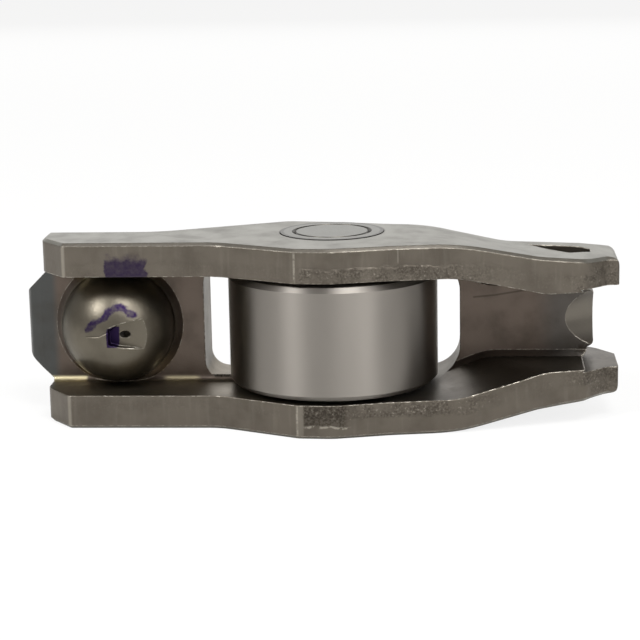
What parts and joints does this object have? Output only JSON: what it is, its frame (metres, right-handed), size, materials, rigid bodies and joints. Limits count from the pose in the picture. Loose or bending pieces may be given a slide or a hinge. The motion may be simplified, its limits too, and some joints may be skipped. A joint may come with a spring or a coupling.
{
  "type": "rocker arm",
  "caption": "Stamped steel roller rocker arm of the finger follower kind: domed pivot socket, needle-bearing roller on a staked pin, and a valve pad between guide lips.",
  "frame": {"origin": "middle of the roller, on its axis", "axes": "+X along the arm to the valve end, -Y to the cam and +Y to the valve and pivot ball, +Z along the roller's axis; the arm lies on its side, on the outer face of one wall"},
  "size_m": [0.0497, 0.0174, 0.0156],
  "materials": {
    "stamped_steel": "satin",
    "pin_steel": "satin",
    "roller_steel": "ground",
    "needle_steel": "ground"
  },
  "bodies": {
    "arm": {"arm_body": "stamped_steel", "axle_pin": "pin_steel"},
    "roller": {"roller": "roller_steel"},
    "needle_set": {"needle_01": "needle_steel", "needle_02": "needle_steel", "needle_03": "needle_steel", "needle_04": "needle_steel", "needle_05": "needle_steel", "needle_06": "needle_steel", "needle_07": "needle_steel", "needle_08": "needle_steel", "needle_09": "needle_steel", "needle_10": "needle_steel", "needle_11": "needle_steel", "needle_12": "needle_steel", "needle_13": "needle_steel", "needle_14": "needle_steel", "needle_15": "needle_steel", "needle_16": "needle_steel", "needle_17": "needle_steel", "needle_18": "needle_steel", "needle_19": "needle_steel"}
  },
  "joints": [
    {"name": "roller_spin", "type": "hinge", "parent": "arm", "child": "roller", "pos_m": [0, 0, 0], "axis": [0, 0, 1], "continuous": true},
    {"name": "needle_orbit", "type": "hinge", "parent": "arm", "child": "needle_set", "pos_m": [0, 0, 0], "axis": [0, 0, 1], "continuous": true}
  ],
  "couplings": [
    {"joint": "needle_orbit", "follows": "roller_spin", "ratio": 0.58027}
  ]
}
